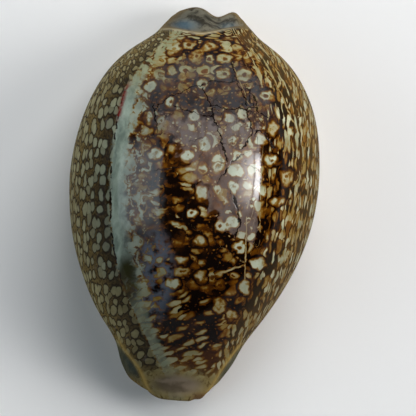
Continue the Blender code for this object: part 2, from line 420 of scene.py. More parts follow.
def point_id(row, column):
    """The vertex at that row and column; the rims' last rows are shared by outside and inside."""
    if row in (0, last_row) and column >= POINTS:
        column = AROUND - column
    key = (row, column)
    if key not in ids:
        ids[key] = len(points)
        points.append(grid[key])
    return ids[key]


def inner_column(column):
    """Where the inside's copy of an outer column is in the rows."""
    return column if column in (0, POINTS - 1) else AROUND - column


def face(*corners):
    """The vertices at those rows and columns."""
    return [point_id(row, column) for row, column in corners]


faces = []
for row in range(last_row):
    for column in range(POINTS - 1):
        faces.append(face((row, column), (row, column + 1), (row + 1, column + 1), (row + 1, column)))
for row in range(last_row):
    for column in range(POINTS - 1):
        in_rows = thin_rows[0] <= row < thin_rows[1]
        if in_rows and thin_columns[0] <= column < thin_columns[1]:
            continue
        a = inner_column(column)
        b = inner_column(column + 1)
        faces.append(face((row, a), (row + 1, a), (row + 1, b), (row, b)))
print(len(faces), "fine faces")

# %% The thinned cells of the inside
for row in range(thin_rows[0], thin_rows[1], THIN):
    for column in range(thin_columns[0], thin_columns[1], THIN):
        far_row = row + THIN
        far_column = column + THIN
        corners = [(row, column), (far_row, column), (far_row, far_column), (row, far_column)]
        on_border = (
            column == thin_columns[0], far_row == thin_rows[1],
            far_column == thin_columns[1], row == thin_rows[0],
        )
        cell = []
        for k, (r0, c0) in enumerate(corners):
            r1, c1 = corners[(k + 1) % 4]
            for step in range(THIN if on_border[k] else 1):
                beside = inner_column(c0 + (c1 - c0) * step // THIN)
                cell.append(point_id(r0 + (r1 - r0) * step // THIN, beside))
        faces.append(cell)
mesh = bpy.data.meshes.new("shell")
mesh.from_pydata([tuple(p) for p in points], [], faces)
mesh.validate()
mesh.update()
mesh.polygons.foreach_set("use_smooth", np.ones(len(mesh.polygons), bool))
if sum(p.area * p.normal.z for p in mesh.polygons if p.center.z > 0.9 * cad_high.z) < 0:
    mesh.flip_normals()
shell = bpy.data.objects.new("shell", mesh)
bpy.context.scene.collection.objects.link(shell)
mesh.calc_loop_triangles()
print("the shell's mesh has", len(mesh.loop_triangles), "triangles")

# %% [markdown]
# ## A place on the skin
#
# The markings need to know where on the shell they are. Three kinds of value are stored with each point.
# The first is a flat map of the skin, in millimetres: how far round from the crest, and how far along, so
# that a spot keeps its size as the surface turns away. The second is a map shaped like a fan, for lines
# that follow the flank from one end to the other. The third is a set of soft masks, most from 0 to 1, that
# say which zone a point is in: the margin's net, the pale line, the bloom, the two ends, the base and more,
# and where the painted reflections and highlights go.

# %% The flat map
order = np.array(sorted(ids, key=ids.get))
row_of, column_of = order[:, 0], order[:, 1]
is_inside = column_of >= POINTS
outer_column = np.where(is_inside, AROUND - column_of, column_of)
fine_station = station[:, 0]
rise = np.gradient(back_height(fine_station), fine_station)
run_in = np.gradient((outer_side(fine_station) + inner_side(fine_station)) / 2, fine_station)
climb = np.sqrt(1 + (0.75 * np.maximum(np.abs(rise), np.abs(run_in))) ** 2)
skin_along = np.concatenate([[0], np.cumsum(np.diff(fine_station) * (climb[1:] + climb[:-1]) / 2)])
skin_along = (skin_along - np.interp(0, fine_station, skin_along)) * LENGTH / MM
skin_round = crest_distance / MM
place = np.array(points)
x = place[:, 0] / LENGTH
y = place[:, 1] / LENGTH
skin = np.column_stack([skin_round[row_of, outer_column], skin_along[row_of], np.zeros(len(x))])
skin_size = np.ptp(skin, axis=0)
print(f"the skin is {skin_size[0]:.1f} mm round and {skin_size[1]:.1f} mm along")

# %% The pale line and the zones
facing = np.zeros(len(mesh.vertices) * 3)
mesh.vertex_normals.foreach_get("vector", facing)
upward = facing.reshape(-1, 3)[:, 2]
pale_line = spline([
    (-0.46, -0.025), (-0.35, -0.085), (-0.225, -0.145), (-0.10, -0.180), (0.05, -0.195),
    (0.17, -0.190), (0.24, -0.181), (0.29, -0.168), (0.355, -0.127), (0.44, -0.060),
])
line_offset = (x - pale_line(y)) * LENGTH / MM / np.sqrt(np.maximum(upward, 0.25))
line_half = 0.95 + 0.25 * smoothstep(0.0, -0.08, y) * smoothstep(-0.30, -0.20, y)


def patch(cx, cy, rx, ry, soft):
    """1 inside an ellipse on the back and 0 outside, with a soft edge."""
    away = np.sqrt(((x - cx) / rx) ** 2 + ((y - cy) / ry) ** 2)
    return 1 - smoothstep(1 - soft, 1 + soft, away)


outward_x = np.where(x > 0, x / inner_side(y), -x / outer_side(y))
print("the pale line lies", round(float(-pale_line(0.0)) * LENGTH / MM, 1), "mm left of the middle")

# %% [markdown]
# ## Strokes
#
# A few marks are single lines at a known place: the longest cracks, and the thin pale threads that run
# down the right of the back. Each is a short list of corners, which are measured places rounded to about
# a hundredth of the length. What's stored is how far a point lies from the nearest stroke, positive on one
# side and negative on the other. The sign matters: a value that only touches zero is lost between two
# points of a mesh, while one that crosses zero keeps the line sharp.

# %% Cracks and threads


def beside(strokes):
    """Millimetres from the nearest stroke, with a sign for its side, and that stroke's width."""
    nearest = np.full(len(x), 99.0)
    width = np.zeros(len(x))
    for half_width, corners in strokes:
        for (x0, y0), (x1, y1) in zip(corners, corners[1:]):
            dx, dy = x1 - x0, y1 - y0
            share = np.clip(((x - x0) * dx + (y - y0) * dy) / (dx * dx + dy * dy), 0, 1)
            off_x, off_y = x - x0 - share * dx, y - y0 - share * dy
            gap = np.hypot(off_x, off_y) * LENGTH / MM
            side = np.where(dx * off_y - dy * off_x < 0, -1.0, 1.0)
            closer = (gap < np.abs(nearest)) & (upward > 0.2)
            nearest = np.where(closer, side * gap, nearest)
            width = np.where(closer, half_width, width)
    return nearest, width


cracks = [
    (0.10, [(-0.10, 0.24), (-0.08, 0.26), (-0.02, 0.29), (0.03, 0.31), (0.09, 0.31)]),
    (0.11, [(0.08, 0.36), (0.09, 0.32), (0.12, 0.26), (0.12, 0.24)]),
    (0.12, [(0.01, 0.29), (0.03, 0.25), (0.05, 0.20), (0.08, 0.11)]),
    (0.09, [(0.04, 0.25), (0.08, 0.24), (0.14, 0.25)]),
    (0.12, [(0.12, 0.24), (0.14, 0.19), (0.12, 0.15)]),
    (0.12, [(0.12, 0.30), (0.14, 0.27), (0.15, 0.24), (0.17, 0.23)]),
    (0.10, [(0.14, 0.19), (0.16, 0.19), (0.19, 0.16)]),
    (0.12, [(-0.11, 0.24), (-0.10, 0.19)]),
    (0.09, [(-0.06, 0.24), (0.03, 0.22)]),
    (0.18, [(0.10, 0.02), (0.11, 0.00), (0.12, -0.05), (0.11, -0.07)]),
    (0.09, [(0.06, 0.06), (0.09, 0.11), (0.12, 0.13)]),
    (0.09, [(-0.09, 0.08), (-0.04, 0.09)]),
]
threads = [
    (0.12, [(0.135, 0.00), (0.14, -0.20)]),
    (0.12, [(0.165, 0.12), (0.17, -0.07)]),
    (0.20, [(0.07, -0.17), (0.135, -0.145)]),
    (0.12, [(0.12, 0.40), (0.19, 0.32), (0.24, 0.22)]),
    (0.10, [(0.08, 0.36), (0.13, 0.25)]),
]
crack_offset, crack_width = beside(cracks)
thread_offset, thread_width = beside(threads)
print(len(cracks), "cracks and", len(threads), "threads")

# %% [markdown]
# ## The spots that stand out
#
# Chance can scatter most of the pattern, but an eye goes first to the few holes that are larger and paler
# than the rest. Those are listed one by one, from measured places rounded to a hundredth of the length:
# some with a brown eye, some without. Chance still gives each its size, its stretch and how pale it is, and
# a noise eats at the edges.

# %% The listed marks
eyed_marks = [
    (-0.07, 0.39), (-0.03, 0.40), (-0.01, 0.37), (0.02, 0.40), (0.06, 0.37), (0.01, 0.30), (0.06, 0.33),
    (0.11, 0.33), (0.17, 0.28), (-0.07, 0.25), (0.02, 0.15), (-0.02, 0.12), (0.19, 0.12), (0.23, 0.08),
    (0.10, 0.05), (0.07, -0.05), (0.00, -0.02), (0.12, -0.10),
]
plain_marks = [
    (-0.07, 0.33), (-0.12, 0.29), (-0.12, 0.21), (-0.01, 0.22), (0.08, 0.22), (0.19, 0.20), (0.16, 0.17),
    (-0.10, 0.12), (0.10, 0.09), (0.02, 0.03), (0.21, 0.02), (0.10, -0.04), (0.02, -0.09), (-0.02, -0.14),
    (-0.04, -0.20), (0.03, -0.18), (0.17, -0.14), (0.14, -0.20), (0.08, -0.25), (0.11, -0.27),
]
FAR_OFF = 9.0
EYE_SIZE = 0.33
chance = np.random.default_rng(4)
mark_gap = np.full(len(x), FAR_OFF)
mark_eye = np.full(len(x), FAR_OFF)
mark_tone = np.zeros(len(x))
for middle_x, middle_y in eyed_marks + plain_marks:
    radius = chance.uniform(0.95, 1.4)
    stretch = chance.uniform(0.85, 1.2)
    across = (x - middle_x) * LENGTH / MM / stretch
    along = (y - middle_y) * LENGTH / MM * stretch
    gap = np.hypot(across, along) - radius
    eye_across, eye_along = chance.uniform(-0.2, 0.2, 2)
    eye = np.hypot(across - eye_across, along - eye_along) - EYE_SIZE * radius
    if (middle_x, middle_y) in plain_marks:
        eye = np.full(len(x), FAR_OFF)
    closer = (gap < mark_gap) & (upward > 0.1)
    mark_gap = np.where(closer, gap, mark_gap)
    mark_eye = np.where(closer, eye, mark_eye)
    mark_tone = np.where(closer, chance.uniform(0.0, 0.30), mark_tone)
print(len(eyed_marks) + len(plain_marks), "listed marks")

# %% Masks of the ends
left_gap = front_edge_left(y) - x
right_gap = x - front_edge_right(y)
past_back = y - back_edge(x)
in_front = smoothstep(-0.335, -0.36, y) * smoothstep(-0.490, -0.465, y) * smoothstep(0.0, 0.3, upward)
left_flute = smoothstep(0.002, 0.010, left_gap) * smoothstep(-0.345, -0.375, y) * (x < 0)
right_flute = smoothstep(0.000, 0.008, right_gap) * smoothstep(-0.345, -0.365, y) * (x > 0)
# Painted highlights: blue glints on the left and right of the back end.
left_highlight = patch(-0.045, 0.452, 0.028, 0.012, 0.8)
right_highlight = patch(0.072, 0.454, 0.024, 0.010, 0.8)
ends = {
    "back_end": smoothstep(-0.002, 0.003, past_back),
    "back_lip": bell(past_back - 0.001, 0.0026) * smoothstep(0.10, 0.02, x) * smoothstep(0.0, 0.4, upward),
    "blue_highlight": np.maximum(left_highlight, 0.5 * right_highlight),
    "behind_lip": smoothstep(-0.042, -0.014, past_back) * smoothstep(-0.12, -0.04, x),
    "front_end": smoothstep(-0.395, -0.440, y + 0.15 * np.abs(x + 0.02)),
    "neck": smoothstep(-0.345, -0.420, y),
    "front_cup": patch(-0.016, -0.459, 0.062, 0.026, 0.45),
    "front_bump": patch(0.045, -0.492, 0.022, 0.014, 0.5),
    "front_lip": np.maximum(bell(left_gap, 0.006), bell(right_gap, 0.005)) * in_front,
    "flute": np.maximum(left_flute, right_flute) * smoothstep(-0.465, -0.425, y),
}

# %% Masks of the back, the margins and the base
# The bloom masks: a milky veil that also stands for painted reflections of the room, over the top of the
# back and down its left, and on the right beside the highlight.
past_diagonal = 0.833 * (x - 0.010) + 0.555 * (y - 0.050)
right_bloom_and_reflection = smoothstep(-0.04, 0.04, past_diagonal) * smoothstep(0.175, 0.150, x)
right_bloom_and_reflection = right_bloom_and_reflection * smoothstep(-0.12, -0.05, y) * smoothstep(0.28, 0.16, y)
in_fan = smoothstep(0.50, 0.60, outward_x) * smoothstep(0.95, 0.84, outward_x) * (x > 0)
top_bloom_and_reflection = patch(0.015, 0.255, 0.165, 0.115, 0.30)
left_bloom_and_reflection = patch(-0.125, 0.0, 0.055, 0.20, 0.35)
reddened = smoothstep(0.19, 0.215, y) - smoothstep(0.28, 0.31, y)
masks = {
    "line_offset": line_offset,
    "line_half": line_half,
    "crack_offset": crack_offset,
    "crack_width": crack_width,
    "thread_offset": thread_offset,
    "thread_width": thread_width,
    "mark_gap": mark_gap,
    "mark_eye": mark_eye,
    "mark_tone": mark_tone,
    "margin_net": smoothstep(0.0, 0.6, -(line_offset + line_half)),
    "red_streak": bell(line_offset + line_half, 0.45) * reddened,
    "right_side": smoothstep(0.58, 0.72, outward_x) * (x > 0),
    "right_edge": smoothstep(0.76, 0.90, outward_x) * (x > 0),
    "fan_share": in_fan * smoothstep(-0.20, 0.10, y),
    "rim_gold": smoothstep(0.75, 0.15, upward) * smoothstep(-0.75, -0.2, upward),
    "glossy": smoothstep(0.60, 0.90, np.abs(upward)),
    "far_part": smoothstep(0.24, 0.36, y),
    "near_part": smoothstep(-0.17, -0.25, y),
    "dashed": patch(-0.045, 0.0, 0.10, 0.095, 0.35),
    "bluish": smoothstep(-0.02, -0.13, x) * smoothstep(0.34, 0.22, y),
    "bloom_and_reflection_top": np.maximum(top_bloom_and_reflection, 0.75 * left_bloom_and_reflection),
    "bloom_and_reflection_right": right_bloom_and_reflection,
    # A painted reflection of a window: a blue-grey patch low on the left.
    "blue_reflection": patch(-0.088, -0.185, 0.048, 0.110, 0.30),
    # A painted dark reflection in the pale line, beside the painted window reflection.
    "olive": patch(-0.150, -0.195, 0.034, 0.060, 0.4),
    "dark": patch(0.035, -0.10, 0.16, 0.24, 0.5),
    "cracked": patch(0.10, 0.20, 0.13, 0.16, 0.25),
    "base": smoothstep(0.15, -0.45, upward),
    "inside": is_inside * smoothstep(1.5, 3.5, lip_distance[row_of, outer_column] / MM),
    "tooth": (reach * ridge)[row_of, column_of],
    "gap": (reach * (1 - ridge))[row_of, column_of],
    **ends,
}

# %% Store them on the mesh
FAN_ACROSS = 24
FAN_ALONG = 0.12
fan = np.stack([FAN_ACROSS * outward_x, FAN_ALONG * LENGTH / MM * y, np.zeros(len(x))], axis=1)
for name, values in masks.items():
    layer = mesh.attributes.new(name, "FLOAT", "POINT")
    layer.data.foreach_set("value", np.broadcast_to(values, x.shape).astype(np.float32))
for name, places in (("skin", skin), ("fan", fan)):
    layer = mesh.attributes.new(name, "FLOAT_VECTOR", "POINT")
    layer.data.foreach_set("vector", places.astype(np.float32).ravel())
print(len(masks), "masks stored")

# %% [markdown]
# ## A small kit for building materials
#
# The finish is a network of shader nodes. Wiring nodes one by one hides the idea, so a few short helpers
# make a node, plug in what it is given, and hand back its output. With them a marking reads as a line of
# arithmetic.

# %% Making a node


def new_material(name):
    """A material whose nodes the helpers work on from now on."""
    global tree
    material = bpy.data.materials.new(name)
    material.use_nodes = True
    tree = material.node_tree
    return material


def paint(code):
    """A hex colour, as it looks, as the linear values that shaders use."""
    shown = [int(code[i:i + 2], 16) / 255 for i in (0, 2, 4)]
    return [c / 12.92 if c <= 0.04045 else ((c + 0.055) / 1.055) ** 2.4 for c in shown] + [1.0]


def plug(socket, value):
    """Links an output into a socket, or sets the socket to a number, a direction or a hex colour."""
    if isinstance(value, bpy.types.NodeSocket):
        tree.links.new(value, socket)
    else:
        socket.default_value = paint(value) if isinstance(value, str) else value


def node(kind, output, inputs, **settings):
    """A new node with its settings and inputs in place; hands back one output, or all for None."""
    made = tree.nodes.new("ShaderNode" + kind)
    for name, value in settings.items():
        setattr(made, name, value)
    for socket, value in inputs.items():
        plug(made.inputs[socket], value)
    return made.outputs if output is None else made.outputs[output]


# %% Numbers, colours and stored values


def calc(operation, first, *others):
    """A math node for two values, and one more for each value after them."""
    for other in others or (0.0,):
        first = node("Math", 0, {0: first, 1: other}, operation=operation)
    return first


add, minus, times, least, most = (
    partial(calc, way) for way in ("ADD", "SUBTRACT", "MULTIPLY", "MINIMUM", "MAXIMUM")
)


def no(value):
    return minus(1.0, value)


def choose(share, a, b):
    """The number a where the share is 0, b where it is 1."""
    return add(times(a, no(share)), times(b, share))


def ease(value, low, high):
    """0 at low, 1 at high, eased; low may be above high."""
    inputs = {"Value": value, "From Min": low, "From Max": high}
    return node("MapRange", "Result", inputs, interpolation_type="SMOOTHSTEP")


def blend(share, a, b, way="MIX"):
    """The colour a where the share is 0, b where it is 1."""
    return node("Mix", 2, {0: share, 6: a, 7: b}, data_type="RGBA", blend_type=way)


def tinted(colour, *layers):
    """The colour with others laid over it in turn, each by its own share."""
    for share, code in layers:
        colour = blend(share, colour, code)
    return colour


def stored(name):
    """A mask or a map from the mesh."""
    return node("Attribute", "Vector" if name in ("skin", "fan") else "Fac", {}, attribute_name=name)


# %% Maps and textures


def vector(operation, a, b=(0, 0, 0), output="Vector"):
    return node("VectorMath", output, {0: a, 1: b}, operation=operation)


def scaled(direction, much):
    return node("VectorMath", "Vector", {0: direction, "Scale": much}, operation="SCALE")


def moved(where, direction, much):
    """The map shifted by that much of a direction."""
    return vector("ADD", where, scaled(direction, much))


def squeezed(where, across, along):
    """The map with what is drawn on it made that many times narrower and shorter."""
    return vector("MULTIPLY", where, (across, along, 1))


def grain(where, scale, detail, output="Fac"):
    return node("TexNoise", output, {"Vector": where, "Scale": scale, "Detail": detail})


def patches(where, scale, detail, low, high):
    """Noise made into patches: 0 where it is under low, 1 where it is over high."""
    return ease(grain(where, scale, detail), low, high)


def swing(where, scale, detail, much):
    """Noise that swings to both sides of zero."""
    return times(minus(grain(where, scale, detail), 0.5), much)


def cells(where, size, loose, feature="F1"):
    """Voronoi cells about size millimetres across; distances come back in cell sizes."""
    inputs = {"Vector": scaled(where, 1 / size), "Scale": 1.0, "Randomness": loose}
    return node("TexVoronoi", None, inputs, voronoi_dimensions="2D", feature=feature)


# %% [markdown]
# ## The netted back
#
# On the back the pigment is a dark net with pale holes. The big holes come about one to three
# millimetres, many with a brown eye or a bite out of one side. Between them are dashes and fine dots.
# Nothing has a hard edge: the dark layer thins to brown, then amber, then shows the pale layer below.
#
# So the shader doesn't pick a colour for a spot. It works out how thick the dark layer is, from 0 to 1, and
# one ramp turns thickness into colour. A Voronoi texture scatters one seed to a cell. The distance to the
# seed makes the spot, the cell's random colour sets its size, its eye and how pale it is, and a noise that
# shifts the map first makes the outlines uneven.

# %% An uneven map of the skin
MID = (0.5, 0.5, 0.5)
finish = new_material("polished_shell")
skin = stored("skin")
wander = vector("SUBTRACT", grain(skin, 0.42, 1.0, "Color"), MID)
ripple = vector("SUBTRACT", grain(skin, 1.3, 2.0, "Color"), MID)
uneven = moved(moved(skin, wander, 2.0), ripple, 0.8)
smoother = moved(moved(skin, wander, 1.8), ripple, 0.3)

# %% A layer of spots, and a net
EYE_DEPTH = 0.62


def random_cells(where, size, loose):
    """Cells, and three random numbers for each."""
    cell = cells(where, size, loose)
    return cell, node("SeparateColor", None, {0: cell["Color"]})


def left_out(luck, share, soft):
    """1 in the cells that get no hole, when that share of them do."""
    return no(ease(luck, share, share - soft)) if share < 1 else 0.0


def spotted(where, size, radii, soft, share, tones, eyed=0.0, loose=0.9):
    """The dark layer's thickness, least in a spot, and the way past its edge; the pairs are ranges."""
    cell, luck = random_cells(where, size, loose)
    radius = add(radii[0], times(luck[0], radii[1] - radii[0]))
    away = minus(cell["Distance"], radius)
    own = add(tones[0], times(luck[1], tones[1] - tones[0]))
    thick = add(own, times(no(own), ease(away, -soft, soft)))
    if eyed:
        seed = vector("SUBTRACT", scaled(where, 1 / size), cell["Position"])
        shift = vector("MULTIPLY", vector("SUBTRACT", cell["Color"], MID), (0.30, 0.30, 0))
        to_eye = vector("DISTANCE", seed, shift, "Value")
        eye_size = times(radius, add(0.20, times(luck[2], 0.35)))
        eye = times(ease(minus(to_eye, eye_size), 0.06, -0.05), ease(luck[2], 1 - eyed, 1.05 - eyed))
        thick = most(thick, times(eye, EYE_DEPTH))
    return most(thick, left_out(luck[2], share, 0.02)), away


def netted(where, size, line, soft, share=1.0):
    """Thickness for round-cornered pale cells with dark lines of that width between them."""
    border = cells(where, size, 0.85, "DISTANCE_TO_EDGE")["Distance"]
    cell, luck = random_cells(where, size, 0.85)
    lines = ease(minus(border, line), soft, -soft)
    corners = ease(cell["Distance"], 0.42, 0.62)
    return most(lines, corners, times(luck[0], 0.45), left_out(luck[1], share, 0.05))


# %% The middle of the back
far_part = stored("far_part")
near_part = stored("near_part")
dashed = stored("dashed")
bluish = stored("bluish")
dot, _ = spotted(smoother, 1.1, (0.08, 0.22), 0.14, 0.72, (0.3, 0.8))
big, from_big = spotted(uneven, 2.9, (0.18, 0.44), 0.18, 1.0, (0.0, 0.6), eyed=0.6)
big_flat, _ = spotted(squeezed(uneven, 0.6, 1.3), 2.6, (0.14, 0.42), 0.20, 0.85, (0.0, 0.7))
dash, _ = spotted(squeezed(uneven, 0.62, 1.25), 1.6, (0.10, 0.34), 0.16, 0.6, (0.2, 0.7))
flat_dash, _ = spotted(squeezed(uneven, 0.33, 1.2), 1.35, (0.18, 0.40), 0.15, 0.92, (0.1, 0.6))
between = ease(from_big, 0.02, 0.14)
fine = choose(dashed, least(dash, dot), least(flat_dash, dot))
fine = add(fine, times(no(fine), no(between)))
middle = least(choose(dashed, big, big_flat), fine)

# %% Its two ends
LEAN = 0.5
ringed, _ = spotted(smoother, 2.7, (0.34, 0.54), 0.13, 1.0, (0.0, 0.35), eyed=0.9)
far_dash, _ = spotted(squeezed(uneven, 0.7, 1.1), 1.3, (0.16, 0.40), 0.16, 0.85, (0.1, 0.6))
middle = choose(far_part, middle, least(ringed, far_dash, dot))
lean = vector("MULTIPLY", vector("CROSS_PRODUCT", smoother, (0, 0, 1)), (0, LEAN, 0))
slanted = squeezed(vector("ADD", smoother, lean), 0.68, 1.26)
near_spot, _ = spotted(slanted, 2.3, (0.22, 0.46), 0.17, 0.92, (0.0, 0.55), eyed=0.2)
middle = choose(near_part, middle, least(near_spot, dot))

# %% Worms, a net behind the lip, and dots under the bloom and its painted reflection
worm = ease(calc("ABSOLUTE", minus(grain(uneven, 0.33, 1.0), 0.5)), 0.012, 0.055)
worm_share = times(bluish, patches(skin, 0.25, 2.0, 0.44, 0.60))
middle = least(middle, most(add(times(worm, 0.8), 0.2), no(worm_share)))
lip_net = netted(squeezed(smoother, 0.55, 1.9), 1.5, 0.17, 0.08)
middle = choose(times(stored("behind_lip"), 0.9), middle, lip_net)
veil_dot, _ = spotted(smoother, 0.95, (0.12, 0.28), 0.14, 0.8, (0.25, 0.6))
middle = least(middle, most(veil_dot, no(stored("bloom_and_reflection_top"))))
print("the middle of the back takes", len(tree.nodes), "nodes")

# %% [markdown]
# ## The right side
#
# Down the right side the holes stretch into tall cells with thin lines between them, and narrow dark and
# pale lines run from end to end. They are growth lines: each was once the edge of the mantle. They lie
# close together at the two ends and part in the middle, like a fan, so they are drawn on the fan's map.

# %% Tall cells and growth lines
right_side = stored("right_side")
tall_net = netted(squeezed(smoother, 1.35, 0.42), 1.5, 0.19, 0.075, share=0.75)
tall_dash, _ = spotted(squeezed(smoother, 1.35, 0.48), 1.6, (0.18, 0.42), 0.12, 0.92, (0.0, 0.55))
tall_spot, _ = spotted(squeezed(uneven, 1.15, 0.75), 2.6, (0.12, 0.38), 0.12, 0.6, (0.0, 0.5), eyed=0.4)
rim_net = most(add(times(tall_net, 0.90), 0.10), ease(stored("right_edge"), 0.6, 0.2))
thickness = choose(right_side, middle, least(rim_net, tall_dash, tall_spot))
growth = grain(moved(stored("fan"), wander, 0.5), 1.5, 2.0)
fan_share = stored("fan_share")
thickness = least(thickness, no(times(ease(growth, 0.45, 0.39), fan_share, 0.80)))
thickness = most(thickness, times(ease(growth, 0.53, 0.59), fan_share, 0.95))

# %% Paint for the listed marks
nibble = swing(skin, 0.6, 1.5, 1.9)
mark_edge = add(stored("mark_gap"), nibble)
own_tone = add(stored("mark_tone"), times(patches(skin, 0.7, 3.0, 0.48, 0.68), 0.30))
mark = add(own_tone, times(no(own_tone), ease(mark_edge, -0.45, 0.40)))
mark = most(mark, times(ease(add(stored("mark_eye"), times(nibble, 0.4)), 0.25, -0.15), 0.64))
thickness = choose(ease(mark_edge, 0.30, 0.75), mark, thickness)

# %% Where the dark layer thins
offset = stored("line_offset")
half = stored("line_half")
opening = times(ease(minus(offset, half), 6.5, 0.2), no(times(add(far_part, near_part), 0.6)))
blotch = patches(uneven, 0.5, 3.0, 0.40, 0.58)
thickness = minus(thickness, times(opening, add(0.10, times(blotch, 0.65))))
# Beside the highlight on the right the dark layer is thinned: a painted reflection, together with the milky
# bloom.
thickness = minus(thickness, times(stored("bloom_and_reflection_right"), 0.22))
thickness = minus(thickness, times(stored("neck"), add(0.02, times(grain(skin, 0.8, 2.0), 0.5))))

# %% Pale threads down the right of the back
thread_edge = calc("ABSOLUTE", add(stored("thread_offset"), swing(skin, 0.6, 2.0, 0.7)))
thread_in = ease(minus(thread_edge, stored("thread_width")), 0.12, -0.10)
thread_in = times(thread_in, patches(skin, 0.45, 2.0, 0.36, 0.46))
thickness = least(thickness, no(times(thread_in, 0.75)))

# %% The pale layer below
pale = tinted(
    blend(patches(skin, 0.30, 2.0, 0.3, 0.7), "7E8068", "BAC0AC"),
    (times(bluish, 0.6), "8C9C9C"),
    # Paler spots beside the highlight on the right: a painted reflection.
    (times(stored("bloom_and_reflection_right"), 0.5), "BCC8C2"),
    (times(far_part, 0.6), "8E8C66"),
    (times(near_part, 0.55), "8E865E"),
    (times(ease(mark_edge, 0.3, -0.3), 0.5, no(times(add(far_part, near_part), 0.8))), "BAC8C2"),
)

# %% Thickness to colour
fleck = minus(grain(skin, 1.1, 3.0), 0.5)
depth = add(0.88, times(patches(skin, 0.20, 3.0, 0.3, 0.7), 0.22), times(stored("dark"), 0.05))
depth = minus(depth, times(stored("right_edge"), 0.04))
tone = add(times(thickness, depth), times(fleck, 0.28))
back = tinted(
    pale,
    (ease(tone, 0.10, 0.42), "887036"),
    (ease(tone, 0.34, 0.60), "683C04"),
    (ease(tone, 0.54, 0.78), "3E2003"),
    (ease(tone, 0.79, 1.00), "0C0300"),
)
print("the whole back takes", len(tree.nodes), "nodes")

# %% [markdown]
# ## The margin's ovals
#
# Between the pale line and the outer lip the dark layer is thin and even, an olive brown, and its holes
# are small upright ovals, each with a fine dark outline. They get smaller towards the broad end. Close to
# the line the brown is darkest and the ovals are grey green. Out on the rim all turns to straw and gold.

# %% Margin
rim_gold = stored("rim_gold")
oval_map = squeezed(smoother, 1.05, 0.80)
oval, from_oval = spotted(oval_map, 2.1, (0.33, 0.45), 0.12, 1.0, (0.0, 0.5), loose=0.66)
small, from_small = spotted(oval_map, 1.5, (0.26, 0.42), 0.12, 1.0, (0.1, 0.55), loose=0.85)
oval = choose(far_part, oval, small)
from_oval = choose(far_part, from_oval, from_small)
mottle = patches(skin, 1.7, 2.0, 0.34, 0.66)
ground = tinted(
    blend(mottle, "281D0E", "544220"),
    (times(rim_gold, 0.9), blend(mottle, "564420", "86723E")),
    (times(ease(add(offset, half), -6.0, -1.5), 0.55), "181209"),
)
variety = grain(skin, 0.8, 2.0)
hole = tinted(
    blend(variety, "605A40", "9A946E"),
    (times(bluish, 0.65, no(near_part)), "86948C"),
    (times(far_part, 0.5), "7C7048"),
    (times(near_part, 0.5), "6A6448"),
    (times(rim_gold, 0.9), blend(variety, "8C8058", "BAB48E")),
)
outline = times(ease(calc("ABSOLUTE", minus(from_oval, 0.05)), 0.11, 0.03), 0.88)
net = blend(outline, blend(add(oval, times(fleck, 0.25)), hole, ground), "1C1308")
coat = blend(stored("margin_net"), back, net)
coat = blend(times(rim_gold, 0.35, right_side), coat, "6A5526")

# %% [markdown]
# ## The pale line
#
# The two lobes of the animal's mantle met here, so no dark layer was laid down. The line's outer edge is
# sharp, with a broken dark thread. The other edge is ragged, where fingers of pattern reach into it. It
# fades into the pattern at both ends.

# %% Line
ragged = swing(squeezed(skin, 0.7, 1.2), 0.5, 3.0, 4.0)
tight = swing(skin, 1.2, 2.0, add(0.8, times(far_part, 2.4)))
left_of = ease(add(offset, half, tight), -0.15, 0.15)
right_of = ease(minus(offset, add(half, ragged, 0.85)), 0.8, -0.6)
broken = add(times(far_part, patches(skin, 0.8, 3.0, 0.46, 0.60)), times(near_part, 0.35))
line = times(left_of, right_of, no(broken))
line_tone = tinted(
    blend(patches(squeezed(uneven, 1.0, 0.30), 0.7, 3.0, 0.20, 0.80), "64736F", "A2B2AC"),
    (times(far_part, 0.7), "8E8E63"),
    (times(near_part, 0.55), "78836F"),
    # A painted dark reflection, low on the left of the pale line.
    (stored("olive"), "33331D"),
)
thread_place = calc("ABSOLUTE", add(offset, half, tight, 0.18))
dark_edge = times(ease(thread_place, 0.30, 0.10), patches(skin, 0.55, 2.0, 0.46, 0.52))
coat = tinted(
    coat,
    (line, line_tone),
    (times(dark_edge, no(add(far_part, near_part))), "120A06"),
    (times(stored("red_streak"), patches(skin, 0.8, 2.0, 0.36, 0.5)), "701C1C"),
)

# %% [markdown]
# ## Bloom, painted reflections and crazing
#
# In places the last enamel is milky and veils the pattern with grey-violet; the same veils also stand for
# painted reflections of the room in the glaze, paler beside the highlight on the right. Its border is
# scalloped, as it thins over the pale spots. Lower on the left a blue-grey patch is a painted reflection of
# a window. A few dark hairlines run where the enamel has crazed: long ones at known places, and a fine
# mesh round them.

# %% Bloom and painted reflections
scallop = swing(skin, 0.42, 2.0, 1.6)
# Part milky enamel, part painted reflection: a darker grey veil over the top and down the left, and a paler
# one on the right beside the highlight.
top_veil_and_reflection = ease(add(stored("bloom_and_reflection_top"), times(scallop, 0.6)), 0.2, 0.8)
right_veil_and_reflection = ease(add(stored("bloom_and_reflection_right"), scallop, times(no(thickness), 0.4)), 0.55, 0.80)
veil_patches = add(0.50, times(patches(squeezed(uneven, 1.3, 0.5), 0.42, 3.0, 0.36, 0.60), 0.50))
# A painted reflection of a window: a blue-grey patch low on the left, over the thicker dark layer.
blue_reflection = times(stored("blue_reflection"), patches(skin, 0.5, 3.0, 0.34, 0.56))
coat = tinted(
    coat,
    (times(top_veil_and_reflection, 0.76, veil_patches, add(0.62, times(thickness, 0.38))), "42434A"),
    (times(right_veil_and_reflection, 0.56, veil_patches, add(0.45, times(thickness, 0.55))), "847C80"),
    (times(blue_reflection, 0.75, ease(thickness, 0.35, 0.75)), "606B80"),
)

